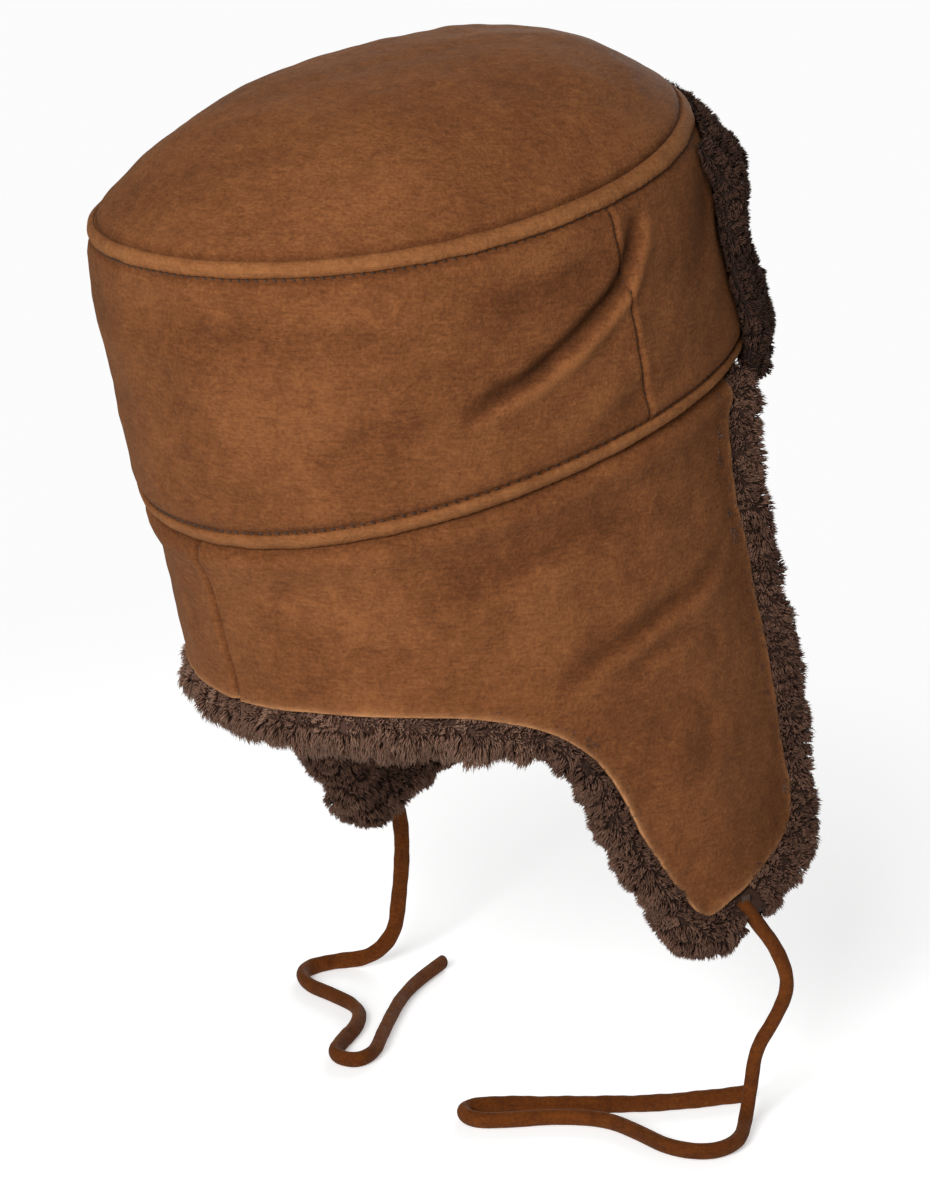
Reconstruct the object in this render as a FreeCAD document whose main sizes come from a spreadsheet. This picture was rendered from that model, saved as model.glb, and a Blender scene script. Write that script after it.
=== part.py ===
import FreeCAD, Part
import math
import os
import Sketcher

# A trapper hat of double-face sheepskin, in millimetres, in the pose in which it is worn.
# +Z is up, -Y is the front of the hat, +X is the wearer's left.
# The origin is the centre of the head opening, in the plane of the seam between crown and cuff.
# The crown's wall leans back, and its seams rise towards the front.

DIMENSIONS = {
    # Seam between crown and cuff: an ellipse, in a plane that rises to the front.
    "cuff_half_length": 118.0,
    "cuff_half_width": 96.0,
    "cuff_tilt": 14.3,
    # Seam between crown wall and top panel.
    "top_half_length": 112.6,
    "top_half_width": 93.2,
    "top_tilt": 10.8,
    "top_height": 91.3,
    "top_setback": 25.2,
    # The wall swells out between its seams: share of the height, and swelling there.
    "low_rise": 0.12,
    "low_swell": 3.2,
    "high_rise": 0.72,
    "high_swell": 5.0,
    # The top panel is the cap of an ellipsoid whose centre lies below the top seam.
    "dome_height": 54.8,
    "dome_sink": 17.5,
    # The cuff goes on down to this level, where it has shifted forward and widened.
    "hem_level": -215.0,
    "hem_shift": -51.6,
    "hem_half_length": 114.0,
    "hem_half_width": 102.6,
    # Sheepskin: leather outside, wool inside.
    "skin_thick": 1.8,
    "pile_thick": 11.0,
    "pile_fringe": 12.0,
    # Seams: a puffed edge and a row of thread beside it.
    "welt_width": 5.5,
    "welt_rise": 1.6,
    "thread_size": 0.7,
    "thread_gap": 0.05,
    "thread_inset": 0.2,
    "side_thread_clear": 22.0,
    "back_thread_top": 34.0,
    "back_thread_low": 6.0,
    "side_seam_shift": -13.0,
    "side_seam_lean": 13.2,
    # Where the cuff divides into fixed neck panel and folding ear flap.
    "fold_level": -100.0,
    "fold_gap": 0.3,
    "fold_rear": 33.0,
    # Front flap, turned up against the crown, wool outwards.
    "flap_clear": 2.3,
    "flap_half_width": 70.0,
    "flap_pile_half_width": 77.0,
    "flap_pile_thick": 14.0,
    "flap_lift": 1.0,
    "flap_drop": 3.0,
    "flap_pile_drop": 0.5,
    # Ties.
    "tie_diameter": 6.0,
    "tack_length": 4.0,
    "tack_thick": 1.4,
    "tack_rise": 1.9,
    # Helper blocks for cutting, and the gap between left and right.
    "reach": 320.0,
    "half_gap": 0.1,
}

# Side outline of the leather of neck panel and ear flap: (name, y, z, radius of arc from the last point).
# A radius above zero curves with the point list's sense of turn, one below zero against it.
OUTLINE = [
    ("hem_front", -66.0, 50.0, 0.0),
    ("temple", -69.0, -20.0, 0.0),
    ("cheek", -73.0, -68.0, 0.0),
    ("jaw_front", -98.0, -137.0, 0.0),
    ("jaw_low", -92.0, -161.0, 17.0),
    ("tip_front", -56.0, -179.0, 0.0),
    ("tip_rear", -35.0, -178.0, 16.0),
    ("lobe", -7.0, -139.0, 0.0),
    ("nape", 62.0, -93.0, -92.0),
    ("hem_rear", 150.0, -95.0, 0.0),
    ("hem_top", 150.0, 50.0, 0.0),
]

# The right tie's route: it hangs from the flap's tip, then lies on the floor in an open loop and doubles back.
TIE_ROUTE = [
    (-101.9, -58.0, -182.5),
    (-103.5, -61.0, -190.0),
    (-109.0, -67.5, -199.0),
    (-113.0, -72.0, -213.0),
    (-109.0, -68.5, -227.0),
    (-104.5, -63.0, -239.0),
    (-104.5, -61.0, -253.0),
    (-110.0, -53.0, -263.5),
    (-120.5, -40.0, -264.8),
    (-121.0, -25.0, -264.8),
    (-108.0, -16.5, -264.9),
    (-90.0, -17.5, -264.8),
    (-73.0, -17.0, -264.9),
    (-59.0, -4.5, -264.8),
    (-50.0, 11.5, -264.9),
    (-41.5, 22.5, -264.8),
    (-31.0, 19.0, -264.9),
    (-32.5, 7.0, -264.8),
    (-42.0, -9.0, -264.9),
    (-55.0, -25.0, -264.8),
    (-70.0, -38.0, -264.9),
    (-82.0, -55.0, -264.8),
    (-90.0, -74.0, -264.9),
]

X_AXIS = FreeCAD.Vector(1, 0, 0)
SIDE_VIEW = FreeCAD.Rotation(FreeCAD.Vector(0, 1, 0), FreeCAD.Vector(0, 0, 1), FreeCAD.Vector(1, 0, 0))

doc = FreeCAD.newDocument("trapper_hat")
sheet = doc.addObject("Spreadsheet::Sheet", "dims")
parts = []


def fill_sheet():
    """Write every driving dimension into the sheet, one row each."""
    values = dict(DIMENSIONS)
    for name, y, z, radius in OUTLINE:
        values[name + "_y"] = y
        values[name + "_z"] = z
        if radius:
            values[name + "_r"] = abs(radius)
    for row, (name, value) in enumerate(values.items(), start=1):
        sheet.set("A%d" % row, name)
        sheet.set("B%d" % row, str(value))
        sheet.setAlias("B%d" % row, name)
    doc.recompute()


def cells(formula):
    """Turn names in a formula into references to the sheet."""
    words = []
    for word in formula.split():
        words.append("dims." + word if word[0].isalpha() else word)
    return " ".join(words)


def ring(name, length, width, setback, height, tilt, offset, start=-90):
    """An ellipse round the head, grown outwards by an offset, that starts at the front (-90) or back (90)."""
    ellipse = doc.addObject("Part::Ellipse", name)
    ellipse.MajorRadius = 1000
    ellipse.setExpression("MinorRadius", cells(width + " + " + offset))
    ellipse.setExpression("MajorRadius", cells(length + " + " + offset))
    turn = "%d; %d * ( %s ); 0" % (start, math.copysign(1, start), cells(tilt))
    place = "placement(vector(0; %s; %s); rotation(%s))"
    ellipse.setExpression("Placement", place % (cells(setback), cells(height), turn))
    return ellipse


def loft(name, rings):
    """A closed solid through two rings."""
    solid = doc.addObject("Part::Loft", name)
    solid.Sections = rings
    solid.Solid = True
    solid.Ruled = True
    return solid


def crown_wall(name, offset, start=-90):
    """The crown's wall as a solid, from the cuff seam to the top seam, swollen in between."""
    rings = []
    for level, rise, swell in (("foot", "0", "0"), ("low", "low_rise", "low_swell"),
                               ("high", "high_rise", "high_swell"), ("head", "1", "0")):
        length, width, tilt = (
            "cuff_%s + ( top_%s - cuff_%s ) * %s" % (size, size, size, rise)
            for size in ("half_length", "half_width", "tilt")
        )
        setback, height = ("top_%s * %s" % (size, rise) for size in ("setback", "height"))
        rings.append(ring(name + "_" + level, length, width, setback, height, tilt, offset + " + " + swell, start))
    return loft(name, rings)


def cuff_wall(name, offset):
    high = ring(name + "_high", "cuff_half_length", "cuff_half_width", "0", "0", "cuff_tilt", offset)
    low = ring(name + "_low", "hem_half_length", "hem_half_width", "hem_shift", "hem_level", "0", offset)
    return loft(name, [low, high])


def dome(name, offset):
    """The ellipsoid of the top panel, grown by an offset."""
    solid = doc.addObject("Part::Ellipsoid", name)
    share = "sqrt( 1 - ( dome_sink / dome_height ) ^ 2 )"
    solid.setExpression("Radius1", cells("dome_height + " + offset))
    solid.setExpression("Radius2", cells("top_half_width / " + share + " + " + offset).replace("dims.sqrt", "sqrt"))
    solid.setExpression("Radius3", cells("top_half_length / " + share + " + " + offset).replace("dims.sqrt", "sqrt"))
    tilt = cells("top_tilt")
    y = "dims.top_setback - dims.dome_sink * sin(%s)" % tilt
    z = "dims.top_height - dims.dome_sink * cos(%s)" % tilt
    solid.setExpression("Placement", "placement(vector(0; %s; %s); rotation(0; 0; -%s))" % (y, z, tilt))
    return solid


def block(name, lengths, corner, pivot=("0", "0"), tilt="0"):
    """A box with its low corner given, turned about a line along X through the pivot."""
    box = doc.addObject("Part::Box", name)
    for side, size in zip(("Length", "Width", "Height"), lengths):
        box.setExpression(side, cells(size))
    move = "placement(vector(0; %s; %s); rotation(0; 0; %s))" % (cells(pivot[0]), cells(pivot[1]), cells(tilt))
    start = "placement(vector(%s; %s; %s); rotation(0; 0; 0))" % tuple(cells(value) for value in corner)
    box.setExpression("Placement", move + " * " + start)
    return box


def slab(name, plane, low, thick):
    """A wide flat block parallel to a seam's plane, from a height above that plane."""
    pivot, tilt = {
        "cuff": (("0", "0"), "0 - cuff_tilt"),
        "top": (("top_setback", "top_height"), "0 - top_tilt"),
    }[plane]
    lengths = ("reach", "reach", thick)
    corner = ("reach / -2", "reach / -2", low)
    return block(name, lengths, corner, pivot, tilt)


def cut(name, base, tool):
    result = doc.addObject("Part::Cut", name)
    result.Base = base
    result.Tool = tool
    return result


def common(name, base, tool):
    result = doc.addObject("Part::Common", name)
    result.Base = base
    result.Tool = tool
    return result


def finish(label, shape_object):
    """Name a finished sub-part."""
    shape_object.Label = label
    parts.append(shape_object)
    return shape_object


def mirror(label, source):
    """The same sub-part on the wearer's other side."""
    twin = doc.addObject("Part::Mirroring", label)
    twin.Source = source
    twin.Normal = X_AXIS
    return finish(label, twin)


def arc_centre(start, end, radius):
    """Centre of the arc between two points; the sign of the radius picks its side."""
    (y0, z0), (y1, z1) = start, end
    chord = math.hypot(y1 - y0, z1 - z0)
    away = math.sqrt(radius ** 2 - (chord / 2) ** 2) * math.copysign(1, radius)
    middle = ((y0 + y1) / 2, (z0 + z1) / 2)
    return (middle[0] - away * (z1 - z0) / chord, middle[1] + away * (y1 - y0) / chord)


def arc_through(start, end, radius):
    centre = arc_centre(start, end, radius)
    angles = [math.atan2(point[1] - centre[1], point[0] - centre[0]) for point in (start, end)]
    circle = Part.Circle(FreeCAD.Vector(centre[0], centre[1], 0), FreeCAD.Vector(0, 0, 1), abs(radius))
    if radius > 0:
        return Part.ArcOfCircle(circle, angles[0], angles[1]), (1, 2)
    return Part.ArcOfCircle(circle, angles[1], angles[0]), (2, 1)


def outline_sketch():
    """The side outline, with every corner and radius held by a cell."""
    sketch = doc.addObject("Sketcher::SketchObject", "leather_outline")
    sketch.Placement = FreeCAD.Placement(FreeCAD.Vector(0, 0, 0), SIDE_VIEW)
    ends = []
    for index, (name, y, z, radius) in enumerate(OUTLINE):
        before = OUTLINE[index - 1]
        start, end = (before[1], before[2]), (y, z)
        if radius:
            edge, order = arc_through(start, end, radius)
        else:
            edge = Part.LineSegment(FreeCAD.Vector(start[0], start[1], 0), FreeCAD.Vector(end[0], end[1], 0))
            order = (1, 2)
        sketch.addGeometry(edge, False)
        ends.append(order)
    count = len(OUTLINE)
    for index, (name, y, z, radius) in enumerate(OUTLINE):
        following = (index + 1) % count
        tail, head = ends[index][1], ends[following][0]
        sketch.addConstraint(Sketcher.Constraint("Coincident", index, tail, following, head))
        for kind, axis, value in (("DistanceX", "_y", y), ("DistanceY", "_z", z)):
            number = sketch.addConstraint(Sketcher.Constraint(kind, -1, 1, index, tail, value))
            sketch.setExpression("Constraints[%d]" % number, "dims." + name + axis)
        if radius:
            number = sketch.addConstraint(Sketcher.Constraint("Radius", index, abs(radius)))
            sketch.setExpression("Constraints[%d]" % number, "dims." + name + "_r")
    return sketch


def prism(name, source):
    """The outline carried right across the hat."""
    solid = doc.addObject("Part::Extrusion", name)
    solid.Base = source
    solid.DirMode = "Custom"
    solid.Dir = X_AXIS
    solid.Solid = True
    solid.Symmetric = True
    solid.setExpression("LengthFwd", "dims.reach")
    return solid


def build_crown():
    """Top panel, crown wall, their welts and thread rows."""
    inside = "0 - skin_thick"
    lining = "0 - skin_thick - pile_thick"
    layers = (("outer", "0"), ("middle", inside), ("inner", lining))
    outer, middle, inner = (crown_wall("wall_" + name, offset) for name, offset in layers)
    domes = [dome("dome_" + name, offset) for name, offset in layers]
    above = slab("above_top", "top", "0", "reach")
    finish("crown_top_skin", common("top_skin", cut("top_skin_shell", domes[0], domes[1]), above))
    finish("crown_top_pile", common("top_pile", cut("top_pile_shell", domes[1], domes[2]), above))

    front = block("front_half", ("reach", "reach", "reach"), ("reach / -2", "0 - reach", "reach / -2"),
                  ("side_seam_shift", "0"), "0 - side_seam_lean")
    skin_ring = cut("band_skin_ring", outer, middle)
    pile_ring = cut("band_pile_ring", middle, inner)
    finish("band_front_skin", common("front_skin", skin_ring, front))
    finish("band_back_skin", cut("back_skin", skin_ring, front))
    finish("band_front_pile", common("front_pile", pile_ring, front))
    finish("band_back_pile", cut("back_pile", pile_ring, front))

    raised = cut("welt_ring", crown_wall("wall_welt", "welt_rise"), crown_wall("wall_face", "thread_gap"))
    finish("top_seam_welt", common("top_welt", raised, slab("top_edge", "top", "0 - welt_width", "reach")))
    finish("cuff_seam_welt", common("cuff_welt", raised, slab("cuff_edge", "cuff", "0", "welt_width")))

    thread_ring = cut("thread_ring", crown_wall("wall_thread", "thread_gap + thread_size"),
                      crown_wall("wall_thread_face", "thread_gap"))
    top_row = slab("top_row", "top", "0 - welt_width - thread_size - thread_inset", "thread_size")
    cuff_row = slab("cuff_row", "cuff", "welt_width + thread_inset", "thread_size")
    finish("top_seam_thread", common("top_thread", thread_ring, top_row))
    finish("cuff_seam_thread", common("cuff_thread", thread_ring, cuff_row))

    clear = "cuff", "welt_width + thread_size * 2", "top_height - welt_width * 2 - thread_size - side_thread_clear"
    side_row = block("side_row", ("reach", "thread_size", "reach"), ("0 - reach", "0", "reach / -2"),
                     ("side_seam_shift", "0"), "0 - side_seam_lean")
    upright = common("side_thread_strip", thread_ring, side_row)
    finish("side_seam_thread_right", common("side_thread", upright, slab("side_reach", *clear)))
    mirror("side_seam_thread_left", parts[-1])


def build_cuff():
    """Neck panel with its wool, and the ear flaps that fold at a level line."""
    outer = cuff_wall("cuff_outer", "0")
    middle = cuff_wall("cuff_middle", "0 - skin_thick")
    inner = cuff_wall("cuff_inner", "0 - skin_thick - pile_thick")
    skin = cut("cuff_skin_ring", outer, middle)
    pile = cut("cuff_pile_ring", middle, inner)
    sketch = outline_sketch()
    fringe = doc.addObject("Part::Offset2D", "wool_outline")
    fringe.Source = sketch
    fringe.setExpression("Value", "dims.pile_fringe")
    leather = prism("leather_prism", sketch)
    wool = prism("wool_prism", fringe)

    right = block("right_half", ("reach", "reach * 2", "reach * 2"),
                  ("0 - reach - half_gap", "0 - reach", "0 - reach"))
    for layer, shell, shape in (("skin", skin, leather), ("pile", pile, wool)):
        whole = common("cuff_right_" + layer, common("cuff_" + layer, shell, shape), right)
        corner_rear = "fold_rear" if layer == "pile" else "reach / 2"
        low = block(layer + "_flap_zone", ("reach", "reach", "reach"),
                    ("0 - reach", corner_rear + " - reach - fold_gap / 2", "fold_level - reach - fold_gap / 2"))
        high = block(layer + "_fold_zone", ("reach", "reach", "reach"),
                     ("0 - reach", corner_rear + " - reach + fold_gap / 2", "fold_level - reach + fold_gap / 2"))
        finish("neck_panel_right_" + layer, cut("neck_" + layer, whole, high))
        mirror("neck_panel_left_" + layer, parts[-1])
        finish("ear_flap_right_" + layer, common("ear_" + layer, whole, low))
        mirror("ear_flap_left_" + layer, parts[-1])

    strip = cut("seam_ring", cuff_wall("cuff_thread", "thread_gap + thread_size"),
                cuff_wall("cuff_thread_face", "thread_gap"))
    seam = block("back_seam_row", ("thread_size", "reach", "0 - fold_level - back_thread_top"),
                 ("thread_size / -2", "0", "fold_level + back_thread_low"))
    finish("back_seam_thread", common("back_thread", strip, seam))


def build_front_flap():
    """The flap over the forehead: leather against the crown, wool outwards."""
    near = "flap_clear"
    face = near + " + skin_thick"
    fur = face + " + flap_pile_thick"
    skin = cut("flap_skin_ring", crown_wall("flap_face", face, 90), crown_wall("flap_back", near, 90))
    pile = cut("flap_pile_ring", crown_wall("flap_fur", fur, 90), crown_wall("flap_fur_back", face, 90))
    for layer, ring_shape, half in (("skin", skin, "flap_half_width"), ("pile", pile, "flap_pile_half_width")):
        zone = block("flap_" + layer + "_zone", (half + " * 2", "reach", "reach"),
                     ("0 - " + half, "0 - reach", "reach / -2"))
        piece = common("flap_" + layer + "_cut", ring_shape, zone)
        above = common("flap_" + layer + "_low", piece, slab("flap_" + layer + "_base", "cuff", "flap_lift", "reach"))
        drop = "flap_drop" if layer == "skin" else "flap_pile_drop"
        below = slab("flap_" + layer + "_top", "top", "0 - reach - " + drop, "reach")
        finish("front_flap_" + layer, common("flap_" + layer, above, below))


def rounded_route(points):
    """Straight runs joined by tangent arcs; each arc takes 0.45 of the shorter run beside it."""
    vectors = [FreeCAD.Vector(*point) for point in points]
    edges, radii = [], []
    here = vectors[0]
    for before, corner, after in zip(vectors, vectors[1:], vectors[2:]):
        arriving, leaving = corner - before, after - corner
        turn = arriving.getAngle(leaving)
        reach = 0.45 * min(arriving.Length, leaving.Length)
        radius = reach / math.tan(turn / 2)
        start = corner - arriving.normalize() * reach
        end = corner + leaving.normalize() * reach
        inward = (leaving - arriving).normalize()
        middle = corner + inward * (radius / math.cos(turn / 2) - radius)
        edges.append(Part.makeLine(here, start))
        edges.append(Part.Arc(start, middle, end).toShape())
        radii.append(radius)
        here = end
    edges.append(Part.makeLine(here, vectors[-1]))
    return Part.Wire(edges), radii


def build_ties():
    """A round suede tie on each flap, with the bar of thread that holds it."""
    wire, radii = rounded_route(TIE_ROUTE)
    print("tie length %.1f mm" % wire.Length)
    print("tie radii in diameters: " + ", ".join("%.1f" % (radius / DIMENSIONS["tie_diameter"]) for radius in radii))
    spine = doc.addObject("Part::Feature", "tie_spine")
    spine.Shape = wire
    start = FreeCAD.Vector(*TIE_ROUTE[0])
    heading = FreeCAD.Vector(*TIE_ROUTE[1]) - start
    section = doc.addObject("Part::Circle", "tie_section")
    section.setExpression("Radius", "dims.tie_diameter / 2")
    section.Placement = FreeCAD.Placement(start, FreeCAD.Rotation(FreeCAD.Vector(0, 0, 1), heading))
    tie = doc.addObject("Part::Sweep", "tie")
    tie.Sections = [section]
    tie.Spine = (spine, ["Edge%d" % (number + 1) for number in range(len(wire.Edges))])
    tie.Solid = True
    tie.Frenet = False
    finish("right_tie", tie)
    mirror("left_tie", tie)

    tack = doc.addObject("Part::Box", "tack")
    tack.setExpression("Length", "dims.tack_thick")
    tack.setExpression("Width", "dims.tack_length")
    tack.setExpression("Height", "dims.tack_thick")
    corner = "vector(%f - dims.tack_thick / 2; %f - dims.tack_length / 2; %f + dims.tack_rise)" % tuple(start)
    tack.setExpression("Placement", "placement(" + corner + "; rotation(0; 0; 0))")
    finish("right_tie_tack", tack)
    mirror("left_tie_tack", tack)
    return wire


def check_and_export(tie_wire):
    """Stop on any object that failed, then write one STEP file per sub-part."""
    for item in doc.Objects:
        if "Invalid" in item.State or "Error" in item.State:
            raise RuntimeError("%s did not build: %s" % (item.Label, item.State))
    os.makedirs("parts", exist_ok=True)
    for item in parts:
        shape = item.Shape
        if shape.isNull() or not shape.isValid():
            raise RuntimeError(item.Label + " has no valid shape")
        shape.exportStep("parts/%s.step" % item.Label)
        box = shape.BoundBox
        print("%-26s solids %d volume %9.1f  x %7.1f %7.1f  y %7.1f %7.1f  z %7.1f %7.1f" % (
            item.Label, len(shape.Solids), shape.Volume, box.XMin, box.XMax, box.YMin, box.YMax,
            box.ZMin, box.ZMax))
    expected = math.pi * (DIMENSIONS["tie_diameter"] / 2) ** 2 * tie_wire.Length
    volume = [item.Shape.Volume for item in parts if item.Label == "right_tie"][0]
    print("tie volume %.1f, section times length %.1f" % (volume, expected))


fill_sheet()
build_crown()
build_cuff()
build_front_flap()
tie_wire = build_ties()
doc.recompute()
check_and_export(tie_wire)
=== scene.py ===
import math

import bpy
import numpy as np
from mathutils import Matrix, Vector
from mathutils.geometry import delaunay_2d_cdt


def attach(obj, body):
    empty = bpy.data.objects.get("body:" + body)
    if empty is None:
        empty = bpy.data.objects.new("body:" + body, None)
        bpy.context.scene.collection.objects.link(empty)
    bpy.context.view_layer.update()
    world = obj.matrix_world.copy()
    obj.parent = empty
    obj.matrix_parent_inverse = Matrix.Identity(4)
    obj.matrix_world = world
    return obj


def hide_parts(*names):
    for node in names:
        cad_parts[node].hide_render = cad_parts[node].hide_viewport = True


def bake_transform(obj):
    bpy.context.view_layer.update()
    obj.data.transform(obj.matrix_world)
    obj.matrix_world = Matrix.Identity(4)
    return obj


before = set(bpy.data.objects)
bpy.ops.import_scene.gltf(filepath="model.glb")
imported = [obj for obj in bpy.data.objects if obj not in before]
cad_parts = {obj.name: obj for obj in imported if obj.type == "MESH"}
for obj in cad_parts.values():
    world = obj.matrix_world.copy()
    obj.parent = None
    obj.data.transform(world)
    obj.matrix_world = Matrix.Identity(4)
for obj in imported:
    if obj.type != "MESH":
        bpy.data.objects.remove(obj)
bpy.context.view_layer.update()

# Lengths are in millimetres until a mesh is made. Turn 0 is the front of the hat, a quarter turn the wearer's right.
MM = 0.001
HALF_TURN = math.pi
FULL_TURN = 2 * math.pi

# Curves round the head: half length, half width, setback, height at the sides, rise to the front, lift at front
# and back, squareness.
CUFF_RING = (114.4, 95.9, 0.0, 0.0, 29.0, -2.9, 2.05)
TOP_RING = (110.6, 93.2, 25.2, 88.7, 20.7, 5.2, 2.09)
HEM_RING = (114.0, 102.6, -51.6, -215.0, 0.0, 0.0, 2.0)
DOME_RISE = 39.2
DOME_POWER = 2.94
RADIUS = 104.5

SKIN = 1.8
PILE_BACK = 2.4
PILE_FACE = 13.2
WELT_CENTRE = 2.7
STITCH_ROW = 6.2
STITCH_PITCH = 3.5
FRINGE = 10.5
FLAP_CLEAR = 2.3
FLAP_TURN = math.radians(45.5)
FLAP_WRAP = math.radians(2.6)
NECK_TURN = math.radians(119.0)
# What the two parts of the crown wall were cut to: height and length, and area, in metres.
BAND_CUTS = {"band_back": ((0.110, 0.395), 0.0391), "band_front": ((0.096, 0.330), 0.0299)}
SEAM_GAP = 0.12
TUCK = 0.4
FLAT_ROWS = (0.5, 1.3, 2.4, 3.8, 5.4)

TARGET = Vector((0.0, -0.0097, -0.0757))
TO_CAMERA = Vector((-0.73094913, 0.62428953, 0.27563736))
CAMERA_DISTANCE = 1.5
LENS = 155.66

# The leather's free edge on the wearer's right, (y, z), from the front of the cuff seam round the flap to the nape.
LEATHER_EDGE = [
    (-62.0, 30.0), (-62.5, 17.0), (-63.0, -1.7), (-65.2, -31.5), (-73.6, -53.0), (-79.4, -74.0), (-85.2, -95.9),
    (-88.6, -116.2), (-91.6, -134.0), (-94.3, -150.0), (-91.0, -160.0), (-69.5, -170.8), (-53.3, -176.8),
    (-39.6, -181.5), (-28.2, -170.8), (-11.5, -147.2), (-0.8, -127.4), (7.0, -115.9), (16.1, -107.0),
    (29.0, -99.0), (44.2, -94.2), (62.0, -91.8), (87.2, -92.1),
]
NAPE_LEVEL = -94.5

# Folds in the leather: points of each line, width, depth, lip.
WALL_FOLDS = [
    ([(75.5, 0.90), (77.2, 0.80), (81.0, 0.71), (84.0, 0.63), (88.4, 0.57), (94.0, 0.51), (99.8, 0.455),
      (105.0, 0.42), (110.5, 0.40), (119.0, 0.34)], 2.3, 4.6, 0.45),
    ([(112.4, 0.78), (103.7, 0.75), (92.3, 0.75), (84.0, 0.78)], 5.0, 1.3, 0.4),
    ([(104.0, 0.05), (95.0, 0.13), (86.0, 0.20), (81.0, 0.30)], 4.5, 1.0, 0.3),
    ([(44.0, 0.86), (51.0, 0.72), (58.0, 0.56), (62.0, 0.40)], 6.0, 1.4, 0.3),
    ([(182.0, 0.77), (155.0, 0.75), (135.0, 0.72), (118.0, 0.69)], 5.0, 0.7, 0.3),
    ([(150.0, 0.30), (136.0, 0.36), (124.0, 0.40)], 6.0, 0.7, 0.3),
]
CUFF_FOLDS = [
    ([(69.0, -44.0), (77.0, -55.0), (83.0, -59.7), (88.5, -63.1), (95.5, -69.2), (102.5, -74.0), (108.2, -80.5),
      (113.8, -91.0)], 2.8, 1.9, 0.5),
    ([(88.4, -17.0), (94.2, -25.0), (106.4, -30.7), (116.9, -39.6), (131.8, -46.2)], 6.5, 1.3, 0.3),
    ([(79.0, -70.0), (93.2, -78.0), (101.0, -88.0)], 3.0, 0.8, 0.4),
    ([(76.3, -72.8), (75.0, -80.0), (78.2, -87.3)], 1.8, 0.7, 0.4),
    ([(123.0, -60.0), (115.1, -47.5)], 3.0, 0.6, 0.3),
    ([(88.0, -92.0), (83.0, -102.0), (84.0, -116.0), (90.0, -128.0)], 4.0, 0.7, 0.3),
    ([(160.0, -60.0), (145.0, -66.0), (132.0, -76.0)], 6.0, 0.6, 0.3),
]

# The right tie hangs from the flap's tip, then lies on the floor in an open loop and doubles back.
TIE_ROUTE = [
    (-102.5, -56.0, -179.0), (-106.0, -60.0, -187.0), (-110.5, -67.0, -198.0), (-113.0, -72.0, -213.0),
    (-109.0, -68.5, -227.0), (-104.5, -63.0, -239.0), (-104.5, -61.0, -253.0), (-110.0, -53.0, -263.5),
    (-120.5, -40.0, -264.8), (-121.0, -25.0, -264.8), (-108.0, -16.5, -264.9), (-90.0, -17.5, -264.8),
    (-73.0, -17.0, -264.9), (-59.0, -4.5, -264.8), (-50.0, 11.5, -264.9), (-41.5, 22.5, -264.8),
    (-31.0, 19.0, -264.9), (-33.5, 8.0, -264.8), (-46.0, -6.0, -264.9), (-59.0, -21.5, -264.8),
    (-71.5, -37.0, -264.9), (-82.0, -55.0, -264.8), (-90.0, -74.0, -264.9),
]
TIE_WIDTH = 6.0
TIE_BREADTH, TIE_FLATNESS, TIE_GROOVE = 1.08, 0.93, 0.20

FLOOR_LEVEL = -268.0
FLOOR_HALF = 900.0
# Strength of the world as a light, and as the camera sees it.
WORLD_LIGHT, WORLD_SEEN = 0.27, 0.97
# Name, direction from the hat, distance, size, power.
LIGHTS = [
    ("key", (-0.47, 0.78, 0.40), 1.7, 0.7, 33.0),
    ("fill", (-0.95, -0.1, 0.25), 2.2, 1.4, 1.5),
    ("front", (0.55, -0.80, 0.22), 2.0, 1.2, 26.0),
]


# ---------------------------------------------------------------- camera, floor and lights

def make_camera():
    data = bpy.data.cameras.new("camera")
    data.sensor_fit = "HORIZONTAL"
    data.sensor_width = 36.0
    data.lens = LENS
    camera = bpy.data.objects.new("camera", data)
    camera.location = TARGET + TO_CAMERA * CAMERA_DISTANCE
    camera.rotation_euler = TO_CAMERA.to_track_quat("Z", "Y").to_euler()
    bpy.context.scene.collection.objects.link(camera)
    bpy.context.scene.camera = camera


def area_light(name, direction, distance, size, energy):
    """A square soft light that shines on the hat from a direction."""
    data = bpy.data.lights.new(name, "AREA")
    data.size = size
    data.energy = energy
    light = bpy.data.objects.new(name, data)
    towards = Vector(direction).normalized()
    light.location = TARGET + towards * distance
    light.rotation_euler = towards.to_track_quat("Z", "Y").to_euler()
    bpy.context.scene.collection.objects.link(light)


def make_studio():
    """A pale floor under the ties, a pale world and soft lights, the strongest from the camera's left."""
    world = bpy.data.worlds.new("studio")
    world.use_nodes = True
    tree = world.node_tree
    background = tree.nodes["Background"]
    rays = tree.nodes.new("ShaderNodeLightPath")
    strength = tree.nodes.new("ShaderNodeMapRange")
    strength.inputs["To Min"].default_value = WORLD_LIGHT
    strength.inputs["To Max"].default_value = WORLD_SEEN
    tree.links.new(rays.outputs["Is Camera Ray"], strength.inputs["Value"])
    tree.links.new(strength.outputs["Result"], background.inputs["Strength"])
    background.inputs["Color"].default_value = (1.0, 1.0, 1.0, 1.0)
    bpy.context.scene.world = world
    bpy.context.scene.view_settings.view_transform = "Standard"
    for light in LIGHTS:
        area_light(*light)
    corners = np.array([(x * FLOOR_HALF, y * FLOOR_HALF, FLOOR_LEVEL) for x, y in ((-1, -1), (1, -1), (1, 1), (-1, 1))])
    floor = add_mesh("floor", corners, np.array([(0, 1, 2), (0, 2, 3)]))
    floor.data.materials.append(floor_material())


# ---------------------------------------------------------------- meshes

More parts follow.
